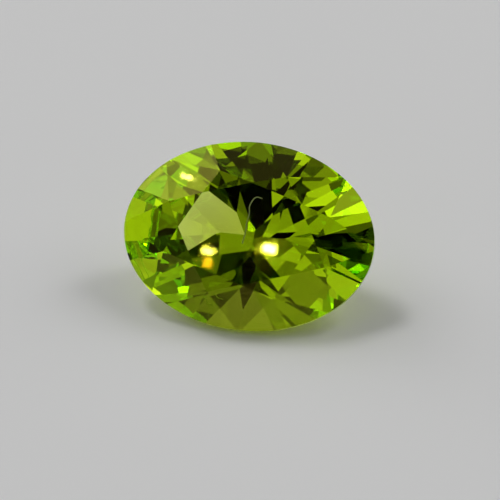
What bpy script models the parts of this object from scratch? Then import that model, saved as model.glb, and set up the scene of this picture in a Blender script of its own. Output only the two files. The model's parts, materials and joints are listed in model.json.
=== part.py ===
"""A loose faceted peridot: an oval brilliant of 8 by 6 mm.

The stone is one crystal. It is cut here as a lapidary cuts it: a rough cylinder is ground to the girdle,
and each facet is then one flat cut. The facets are laid out on a round stone as wide as the oval, which is
then stretched to the oval's length, because flat facets stay flat when they are stretched. The finished
stone lies on the pavilion main at its front, as a loose stone settles on a tray.
"""

import math

import bmesh
import bpy
from mathutils import Matrix, Vector

# Driving dimensions, in metres and degrees
LENGTH = 0.0080
WIDTH = 0.0060
GIRDLE_THICKNESS = 0.000204  # where the bezels and the mains meet the girdle
TABLE_SHARE = 0.545  # the table's corners, as a share of the half width
CROWN_ANGLE = 33.4  # the bezel facets, from the girdle plane
STAR_SHARE = 0.39  # how far the star facets reach from the table towards the girdle
UPPER_HALF_DROP = 0.000036  # the upper halves meet the girdle this much below the bezels
FRONT_MAIN_ANGLE = 42.6  # the main under the front long side, on which the stone lies
BACK_MAIN_ANGLE = 41.8  # the main under the back long side
END_MAIN_ANGLE = 44.9  # the mains under the two ends
FRONT_CORNER_ANGLE = 41.0  # the two mains between the ends and the front
BACK_CORNER_ANGLE = 42.9  # the two mains between the ends and the back
CORNER_TURN = 1.7  # how far each corner main is turned towards its long side
LOWER_HALF_SHARE = 0.70  # how far the lower halves reach from the girdle towards the culet
LOWER_HALF_RISE = 0.00003  # the lower halves meet the girdle this much above the mains

# The layout of the cut
FOLD = 8  # bezels, stars and mains
GIRDLE_SIDES = 96
MEET_TOLERANCE = 1e-7  # facets that meet nearer than this share one corner
ROUGH_HEIGHT = 0.010

# The finish of the stone: polished facets, and a girdle that is left ground
STONE_COLOUR = (0.36, 0.52, 0.03, 1.0)
GIRDLE_COLOUR = (0.55, 0.66, 0.24, 1.0)
PERIDOT_IOR = 1.668
POLISHED_ROUGHNESS = 0.01
GROUND_ROUGHNESS = 0.35

# Sizes of the round stone that is stretched to the oval
RADIUS = WIDTH / 2
CROWN_EDGE = GIRDLE_THICKNESS / 2
PAVILION_EDGE = -GIRDLE_THICKNESS / 2
STEP = 2 * math.pi / FOLD
HALF_STEP = STEP / 2


def clear_scene():
    """Remove whatever the scene already holds."""
    for thing in list(bpy.data.objects):
        bpy.data.objects.remove(thing, do_unlink=True)


def facet(azimuth, inner, outer):
    """The flat cut that faces azimuth and holds two (radius, height) points of its own upright section.

    It gives a point on the facet and the facet's outward normal.
    """
    away = Vector((math.cos(azimuth), math.sin(azimuth), 0))
    run = outer[0] - inner[0]
    rise = outer[1] - inner[1]
    normal = away * -rise + Vector((0, 0, run))
    if rise > 0:
        normal.negate()
    return away * outer[0] + Vector((0, 0, outer[1])), normal.normalized()


def crown_facets():
    """The table, the bezels, the stars and the upper halves."""
    slope = math.tan(math.radians(CROWN_ANGLE))
    table_corner = TABLE_SHARE * RADIUS
    table_side = table_corner * math.cos(HALF_STEP)
    table_height = CROWN_EDGE + (RADIUS - table_corner) * slope
    star_radius = table_side + STAR_SHARE * (RADIUS - table_side)
    star_height = CROWN_EDGE + (RADIUS - star_radius * math.cos(HALF_STEP)) * slope
    half_radius = star_radius * math.cos(HALF_STEP / 2)

    facets = [(Vector((0, 0, table_height)), Vector((0, 0, 1)))]
    for index in range(FOLD):
        bezel = index * STEP
        star = bezel + HALF_STEP
        facets.append(facet(bezel, (table_corner, table_height), (RADIUS, CROWN_EDGE)))
        facets.append(facet(star, (table_side, table_height), (star_radius, star_height)))
        for side in (-1, 1):
            upper_half = star + side * HALF_STEP / 2
            facets.append(
                facet(upper_half, (half_radius, star_height), (RADIUS, CROWN_EDGE - UPPER_HALF_DROP))
            )
    return facets


def mains():
    """The azimuth and the slope of each main, round the stone from one end."""
    layout = (
        (0, END_MAIN_ANGLE),
        (45 + CORNER_TURN, BACK_CORNER_ANGLE),
        (90, BACK_MAIN_ANGLE),
        (135 - CORNER_TURN, BACK_CORNER_ANGLE),
        (180, END_MAIN_ANGLE),
        (225 + CORNER_TURN, FRONT_CORNER_ANGLE),
        (270, FRONT_MAIN_ANGLE),
        (315 - CORNER_TURN, FRONT_CORNER_ANGLE),
    )
    return [(math.radians(azimuth), math.tan(math.radians(angle))) for azimuth, angle in layout]


def meeting_turn(slope, next_slope, between, radius):
    """How far round from a main it meets its neighbour at this radius, when they lie this far apart."""
    across = next_slope * math.sin(between)
    along = slope - next_slope * math.cos(between)
    gap = (slope - next_slope) * RADIUS / radius
    return math.acos(gap / math.hypot(along, across)) - math.atan2(across, along)


def pavilion_facets():
    """The mains, and the lower halves that run down from the girdle between each two of them."""
    tip_radius = (1 - LOWER_HALF_SHARE) * RADIUS
    all_mains = mains()

    facets = []
    for (azimuth, slope), (next_azimuth, next_slope) in zip(all_mains, all_mains[1:] + all_mains[:1]):
        culet_height = PAVILION_EDGE - RADIUS * slope
        facets.append(facet(azimuth, (0, culet_height), (RADIUS, PAVILION_EDGE)))
        between = (next_azimuth - azimuth) % (2 * math.pi)
        turn = meeting_turn(slope, next_slope, between, tip_radius)
        tip_height = PAVILION_EDGE - (RADIUS - tip_radius * math.cos(turn)) * slope
        for main, lean in ((azimuth, turn / 2), (azimuth + between, (turn - between) / 2)):
            half_radius = tip_radius * math.cos(lean)
            facets.append(
                facet(main + lean, (half_radius, tip_height), (RADIUS, PAVILION_EDGE + LOWER_HALF_RISE))
            )
    return facets


def grind(mesh, point, normal):
    """Take off everything outside one facet, and close the stone with that facet."""
    cut = bmesh.ops.bisect_plane(
        mesh,
        geom=mesh.verts[:] + mesh.edges[:] + mesh.faces[:],
        dist=MEET_TOLERANCE,
        plane_co=point,
        plane_no=normal,
        clear_outer=True,
    )
    rim = [part for part in cut["geom_cut"] if isinstance(part, bmesh.types.BMEdge)]
    bmesh.ops.contextual_create(mesh, geom=rim)


def finish_girdle(mesh):
    """Shade the girdle as one round band, sharp at the facets, and give it the ground finish."""
    mesh.normal_update()
    girdle = {face for face in mesh.faces if abs(face.normal.z) < math.sin(math.radians(1))}
    for face in girdle:
        face.smooth = True
        face.material_index = 1
    for edge in mesh.edges:
        edge.smooth = girdle.issuperset(edge.link_faces)


def cut_stone():
    """The stone's mesh, with its table up and the middle of its girdle at the origin."""
    mesh = bmesh.new()
    bmesh.ops.create_cone(
        mesh,
        cap_ends=True,
        segments=GIRDLE_SIDES,
        radius1=RADIUS,
        radius2=RADIUS,
        depth=ROUGH_HEIGHT,
    )
    for point, normal in crown_facets() + pavilion_facets():
        grind(mesh, point, normal)
    bmesh.ops.scale(mesh, vec=(LENGTH / WIDTH, 1, 1), verts=mesh.verts)
    bmesh.ops.recalc_face_normals(mesh, faces=mesh.faces)
    finish_girdle(mesh)
    data = bpy.data.meshes.new("peridot")
    mesh.to_mesh(data)
    mesh.free()
    return data


def clear_stone(name, colour, roughness):
    """A see-through stone with this colour and surface."""
    material = bpy.data.materials.new(name)
    material.use_nodes = True
    material.diffuse_color = colour
    surface = material.node_tree.nodes["Principled BSDF"]
    surface.inputs["Base Color"].default_value = colour
    surface.inputs["Metallic"].default_value = 0.0
    surface.inputs["Roughness"].default_value = roughness
    surface.inputs["IOR"].default_value = PERIDOT_IOR
    surface.inputs["Transmission Weight"].default_value = 1.0
    return material


def lay_down(stone):
    """Tip the stone onto its front main, and set the middle of its box over the origin, on the surface."""
    tip = Matrix.Rotation(math.radians(FRONT_MAIN_ANGLE), 3, "X")
    corners = [tip @ vertex.co for vertex in stone.data.vertices]
    front = min(corner.y for corner in corners)
    back = max(corner.y for corner in corners)
    bottom = min(corner.z for corner in corners)
    stone.rotation_euler = tip.to_euler()
    stone.location = (0, -(front + back) / 2, -bottom)


def build():
    clear_scene()
    stone = bpy.data.objects.new("peridot", cut_stone())
    stone.data.materials.append(clear_stone("polished_peridot", STONE_COLOUR, POLISHED_ROUGHNESS))
    stone.data.materials.append(clear_stone("ground_girdle", GIRDLE_COLOUR, GROUND_ROUGHNESS))
    bpy.context.scene.collection.objects.link(stone)
    lay_down(stone)


build()
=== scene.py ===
"""A loose faceted peridot on a pale grey surface, in soft studio light.

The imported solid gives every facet. This script gives the stone its clear olive-green body, its ground
girdle and the fine fibre inside it, and it sets the surface, the camera, the lights and the small lamps
that glint in single facets.
"""

import json
import math

import bpy
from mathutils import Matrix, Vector


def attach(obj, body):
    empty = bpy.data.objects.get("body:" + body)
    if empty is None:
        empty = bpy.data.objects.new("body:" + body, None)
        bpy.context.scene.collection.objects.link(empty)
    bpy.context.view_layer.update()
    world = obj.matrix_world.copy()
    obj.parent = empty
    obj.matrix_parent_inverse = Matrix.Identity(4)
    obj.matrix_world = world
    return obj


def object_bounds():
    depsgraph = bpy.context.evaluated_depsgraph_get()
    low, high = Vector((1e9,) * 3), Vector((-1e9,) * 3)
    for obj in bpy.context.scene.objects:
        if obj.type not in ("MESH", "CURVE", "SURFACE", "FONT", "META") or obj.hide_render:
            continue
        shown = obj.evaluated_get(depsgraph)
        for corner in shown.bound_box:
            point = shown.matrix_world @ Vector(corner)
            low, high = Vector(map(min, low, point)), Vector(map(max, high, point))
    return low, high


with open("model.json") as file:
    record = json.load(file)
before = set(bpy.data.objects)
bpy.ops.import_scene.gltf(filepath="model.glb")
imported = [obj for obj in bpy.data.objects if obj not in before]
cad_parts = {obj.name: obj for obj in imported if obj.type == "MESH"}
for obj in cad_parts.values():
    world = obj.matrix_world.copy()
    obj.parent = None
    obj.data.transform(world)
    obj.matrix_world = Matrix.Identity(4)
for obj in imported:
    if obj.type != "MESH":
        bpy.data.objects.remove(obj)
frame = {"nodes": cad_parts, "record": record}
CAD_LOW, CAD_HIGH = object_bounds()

# The photograph's view, with the middle of the stone's girdle at its own pixel
PICTURE_SIDE = 500
PIXELS_PER_METRE = 31533
GIRDLE_CENTRE_PIXEL = (249.3, 236.5)
CAMERA_AZIMUTH = 8.6
CAMERA_ELEVATION = 42.7
CAMERA_DISTANCE = 0.35
SENSOR_WIDTH = 36.0
CLIP_START = 0.01
CLIP_END = 10.0

# The stone
PERIDOT_IOR = 1.668
# Absorption of red, green and blue light, for each metre of stone
ABSORPTION = (64.0, 9.0, 700.0)
CLEAR = (1.0, 1.0, 1.0, 1.0)
# Reflections hold hardly any blue, which keeps the dark facets as olive as the photograph's
REFLECTION_TINT = (1.0, 1.0, 0.06, 1.0)
POLISHED_ROUGHNESS = 0.01
GROUND_ROUGHNESS = 0.45
# A surface is girdle or facet by the cosine between its normal and the table's axis
GIRDLE_COSINE = 0.2
FACET_COSINE = 0.4

# The fibre's path in the table's plane, along the stone and up the table's slope, in metres
FIBRE_PATH = (
    (-0.00010, -0.00031),
    (-0.00004, 0.00005),
    (-0.00003, 0.00037),
    (0.00002, 0.00066),
    (0.00000, 0.00086),
    (0.00005, 0.00103),
    (0.00018, 0.00119),
    (0.00038, 0.00117),
)
FIBRE_RADIUS = 0.000018
FIBRE_DEPTH = 0.00020
FIBRE_COLOUR = (0.45, 0.48, 0.35, 1.0)
FIBRE_ROUGHNESS = 0.6
FIBRE_BEVEL_STEPS = 2

# The surface on which the stone lies
FLOOR_SIZE = 4.0
FLOOR_COLOUR = (0.8, 0.8, 0.8, 1.0)
FLOOR_ROUGHNESS = 0.8

# The lights
LIGHT_DISTANCE = 0.6
WHITE_LIGHT = (1.0, 1.0, 1.0)
CREAM_LIGHT = (1.0, 0.95, 1.0)
ORANGE_LIGHT = (1.0, 0.45, 0.1)
# The softboxes: name, azimuth and elevation, width and height as the stone sees them, all in degrees,
# and brightness
SOFTBOXES = (
    ("right_top", 133, 55, 10, 10, 6.0),
    ("right_back", 130, 44, 12, 12, 5.8),
    ("back", 160, 50, 14, 14, 0.55),
    ("left_top", -134, 56, 12, 12, 14.0),
    ("left_front", -43, 40, 14, 12, 0.25),
    ("left_front_high", -38, 52, 12, 8, 0.19),
    ("left_high", -62, 62, 32, 10, 0.28),
    ("left_upper", -67, 54, 26, 12, 0.34),
    ("left_high_core", -47, 64, 8, 8, 0.28),
    ("right_high", 53, 62, 8, 8, 0.13),
    ("right_front", 67, 46, 18, 16, 0.25),
    ("right_mid", 60, 26, 18, 8, 0.61),
    ("left_side", -82, 44, 8, 8, 0.76),
    ("left_mid", -60, 29, 10, 20, 0.26),
    ("left_low", -25, 29, 16, 14, 0.32),
    ("left_front_low", -30, 20, 14, 10, 0.10),
    ("front", -10, 34, 8, 8, 0.09),
    ("front_low", 0, 13, 44, 12, 0.21),
    ("right_low", 31, 31, 20, 22, 0.12),
)

# The pixels where a facet in the photograph mirrors a small lamp
CREAM_SPOT = (207.5, 251)
ORANGE_SPOT = (207.5, 263)
WHITE_SPOT = (269.5, 248.5)
LEFT_SPOT = (187, 177)
# Those lamps: name, the spot's middle, its width and height in pixels, colour and brightness
GLINTS = (
    ("cream_lamp", CREAM_SPOT, 10, 5, CREAM_LIGHT, 190),
    ("orange_lamp", ORANGE_SPOT, 8, 11, ORANGE_LIGHT, 22),
    ("white_lamp", WHITE_SPOT, 13, 8, WHITE_LIGHT, 300),
    ("left_lamp", LEFT_SPOT, 4, 10, WHITE_LIGHT, 70),
)

# The white tent round the stone glows in some places: azimuth, elevation and brightness in the middle of
# each, and how many degrees it reaches
TENT_COLOUR = (1.0, 1.0, 1.0, 1.0)
TENT_GLOWS = (
    (-116, 34, 2.65),
    (116, 34, 1.45),
    (-176, 50, 0.30),
    (0, 88, 0.11),
    (-52, 18, 0.19),
    (-112, 12, 0.03),
)
GLOW_REACH = 30

# How many times light may turn on its way through the stone
MOST_BOUNCES = 24
MOST_REFLECTIONS = 16


def direction(azimuth, elevation):
    """Unit vector from the stone towards this azimuth (0 is -Y, 90 is +X) and elevation, in degrees."""
    a = math.radians(azimuth)
    e = math.radians(elevation)
    return Vector((math.sin(a) * math.cos(e), -math.cos(a) * math.cos(e), math.sin(e)))


def from_middle(pixel):
    """How many pixels this pixel lies to the right of the picture's middle and above it."""
    middle = PICTURE_SIDE / 2
    return pixel[0] - middle, middle - pixel[1]


def add_object(name, data):
    """Put a new object with this data in the scene."""
    thing = bpy.data.objects.new(name, data)
    bpy.context.scene.collection.objects.link(thing)
    return thing


def stand(thing, place, away):
    """Put a light or a camera at this place, with its back to the direction away."""
    thing.location = place
    thing.rotation_mode = "QUATERNION"
    thing.rotation_quaternion = away.to_track_quat("Z", "Y")


def new_material(name, colour):
    """A material with this base colour, and its shader."""
    material = bpy.data.materials.new(name)
    material.use_nodes = True
    shader = material.node_tree.nodes["Principled BSDF"]
    shader.inputs["Base Color"].default_value = colour
    return material, shader


def finish_by_slope(tree, axis):
    """The roughness of the stone: ground where its surface faces square to the axis, polished elsewhere."""
    geometry = tree.nodes.new("ShaderNodeNewGeometry")
    local = tree.nodes.new("ShaderNodeVectorTransform")
    local.vector_type = "NORMAL"
    local.convert_from = "WORLD"
    local.convert_to = "OBJECT"
    along = tree.nodes.new("ShaderNodeVectorMath")
    along.operation = "DOT_PRODUCT"
    along.inputs[1].default_value = axis
    cosine = tree.nodes.new("ShaderNodeMath")
    cosine.operation = "ABSOLUTE"
    finish = tree.nodes.new("ShaderNodeMapRange")
    finish.inputs["From Min"].default_value = GIRDLE_COSINE
    finish.inputs["From Max"].default_value = FACET_COSINE
    finish.inputs["To Min"].default_value = GROUND_ROUGHNESS
    finish.inputs["To Max"].default_value = POLISHED_ROUGHNESS
    tree.links.new(geometry.outputs["True Normal"], local.inputs[0])
    tree.links.new(local.outputs[0], along.inputs[0])
    tree.links.new(along.outputs["Value"], cosine.inputs[0])
    tree.links.new(cosine.outputs[0], finish.inputs["Value"])
    return finish.outputs[0]


def peridot_material(axis):
    """Clear olive-green stone with polished facets and a ground girdle."""
    material, shader = new_material("peridot", CLEAR)
    shader.inputs["IOR"].default_value = PERIDOT_IOR
    shader.inputs["Transmission Weight"].default_value = 1.0
    shader.inputs["Specular Tint"].default_value = REFLECTION_TINT
    tree = material.node_tree
    tree.links.new(finish_by_slope(tree, axis), shader.inputs["Roughness"])

    body = tree.nodes.new("ShaderNodeVolumeAbsorption")
    density = max(ABSORPTION)
    body.inputs["Density"].default_value = density
    body.inputs["Color"].default_value = (*(1 - loss / density for loss in ABSORPTION), 1)
    tree.links.new(body.outputs["Volume"], tree.nodes["Material Output"].inputs["Volume"])
    return material


def thread_shape(points):
    """The mesh of a fine tube that runs smoothly through these points."""
    data = bpy.data.curves.new("fibre", "CURVE")
    data.dimensions = "3D"
    data.bevel_depth = FIBRE_RADIUS
    data.bevel_resolution = FIBRE_BEVEL_STEPS
    data.use_fill_caps = True
    spline = data.splines.new("BEZIER")
    spline.bezier_points.add(len(points) - 1)
    for knot, point in zip(spline.bezier_points, points):
        knot.co = point
        knot.handle_left_type = "AUTO"
        knot.handle_right_type = "AUTO"
    curve = add_object("fibre_curve", data)
    bpy.context.view_layer.update()
    shape = bpy.data.meshes.new_from_object(curve.evaluated_get(bpy.context.evaluated_depsgraph_get()))
    bpy.data.objects.remove(curve)
    return shape


def fibre(middle, axis):
    """A fine pale thread inside the stone, just under the table."""
    across = Vector((1, 0, 0))
    slope = axis.cross(across)
    points = [middle + across * x + slope * y - axis * FIBRE_DEPTH for x, y in FIBRE_PATH]
    thread = add_object("fibre", thread_shape(points))
    material, shader = new_material("fibre", FIBRE_COLOUR)
    shader.inputs["Roughness"].default_value = FIBRE_ROUGHNESS
    thread.data.materials.clear()
    thread.data.materials.append(material)
    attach(thread, "root")


def floor():
    """The plain pale surface, without any gloss."""
    bpy.ops.mesh.primitive_plane_add(size=FLOOR_SIZE)
    surface = bpy.context.object
    surface.name = "floor"
    material, shader = new_material("floor", FLOOR_COLOUR)
    shader.inputs["Roughness"].default_value = FLOOR_ROUGHNESS
    shader.inputs["Specular IOR Level"].default_value = 0.0
    surface.data.materials.append(material)


def area_light(name, width, height, colour, brightness, place, away):
    """A rectangular light of this size in metres that is equally bright from wherever it is seen."""
    data = bpy.data.lights.new(name, "AREA")
    data.shape = "RECTANGLE"
    data.size = width
    data.size_y = height
    data.color = colour
    data.energy = brightness * math.pi * data.size * data.size_y
    stand(add_object(name, data), place, away)


def softbox(name, azimuth, elevation, width, height, brightness):
    """A white light that faces the stone and measures this many degrees as the stone sees it."""
    away = direction(azimuth, elevation)
    size = [2 * LIGHT_DISTANCE * math.tan(math.radians(angle / 2)) for angle in (width, height)]
    area_light(name, *size, WHITE_LIGHT, brightness, away * LIGHT_DISTANCE, away)


def glint(stone, name, pixel, width, height, colour, brightness):
    """A small lamp whose mirror image in a facet fills this many pixels of the picture, round this pixel."""
    eye = bpy.context.scene.camera.matrix_world
    ray = Vector((*from_middle(pixel), -PIXELS_PER_METRE * CAMERA_DISTANCE))
    ray = (eye.to_3x3() @ ray).normalized()
    into_stone = stone.matrix_world.inverted()
    start = into_stone @ eye.translation
    spot, normal = stone.ray_cast(start, into_stone.to_3x3() @ ray)[1:3]
    away = ray.reflect((stone.matrix_world.to_3x3() @ normal).normalized())
    place = stone.matrix_world @ spot + away * LIGHT_DISTANCE
    spread = 1 + LIGHT_DISTANCE / CAMERA_DISTANCE
    size = [spread * side / PIXELS_PER_METRE for side in (width, height)]
    area_light(name, *size, colour, brightness, place, away)


def glow(tree, sky, azimuth, elevation, brightness):
    """The brightness of one soft-edged glow in the tent."""
    toward = tree.nodes.new("ShaderNodeVectorMath")
    toward.operation = "DOT_PRODUCT"
    toward.inputs[1].default_value = direction(azimuth, elevation)
    fade = tree.nodes.new("ShaderNodeMapRange")
    fade.interpolation_type = "SMOOTHSTEP"
    fade.inputs["From Min"].default_value = math.cos(math.radians(GLOW_REACH))
    fade.inputs["From Max"].default_value = 1.0
    fade.inputs["To Max"].default_value = brightness
    tree.links.new(sky, toward.inputs[0])
    tree.links.new(toward.outputs["Value"], fade.inputs["Value"])
    return fade.outputs["Result"]


def tent():
    """The soft white surroundings: dark, with a soft-edged glow at each place in the list."""
    world = bpy.data.worlds.new("tent")
    world.use_nodes = True
    tree = world.node_tree
    background = tree.nodes["Background"]
    background.inputs["Color"].default_value = TENT_COLOUR
    sky = tree.nodes.new("ShaderNodeTexCoord").outputs["Generated"]
    total, *others = [glow(tree, sky, *place) for place in TENT_GLOWS]
    for brightness in others:
        both = tree.nodes.new("ShaderNodeMath")
        tree.links.new(total, both.inputs[0])
        tree.links.new(brightness, both.inputs[1])
        total = both.outputs["Value"]
    tree.links.new(total, background.inputs["Strength"])
    bpy.context.scene.world = world


def camera(centre):
    """The photograph's camera, with this point at the pixel of the girdle's middle."""
    data = bpy.data.cameras.new("camera")
    data.sensor_width = SENSOR_WIDTH
    frame_width = PICTURE_SIDE / PIXELS_PER_METRE
    data.lens = SENSOR_WIDTH * CAMERA_DISTANCE / frame_width
    data.clip_start = CLIP_START
    data.clip_end = CLIP_END
    away = direction(CAMERA_AZIMUTH, CAMERA_ELEVATION)
    right = Vector((0, 0, 1)).cross(away).normalized()
    up = away.cross(right)
    x, y = from_middle(GIRDLE_CENTRE_PIXEL)
    aim = centre - right * (x / PIXELS_PER_METRE) - up * (y / PIXELS_PER_METRE)
    eye = add_object("camera", data)
    stand(eye, aim + away * CAMERA_DISTANCE, away)
    bpy.context.scene.camera = eye


def render_settings():
    """Colours as they are, and enough turns for light to find its way out of the stone."""
    scene = bpy.context.scene
    scene.view_settings.view_transform = "Standard"
    scene.cycles.max_bounces = MOST_BOUNCES
    scene.cycles.transmission_bounces = MOST_BOUNCES
    scene.cycles.glossy_bounces = MOST_REFLECTIONS


stone = frame["nodes"]["peridot"]
table = next(mount for mount in frame["record"]["mounts"] if mount["name"] == "table")
stone.data.materials.clear()
stone.data.materials.append(peridot_material(Vector(table["axis"])))
floor()
tent()
for box in SOFTBOXES:
    softbox(*box)
# The stone's box is centred on the middle of its girdle
camera(Vector(CAD_LOW).lerp(Vector(CAD_HIGH), 0.5))
bpy.context.view_layer.update()
for lamp in GLINTS:
    glint(stone, *lamp)
fibre(Vector(table["pos_m"]), Vector(table["axis"]))
render_settings()
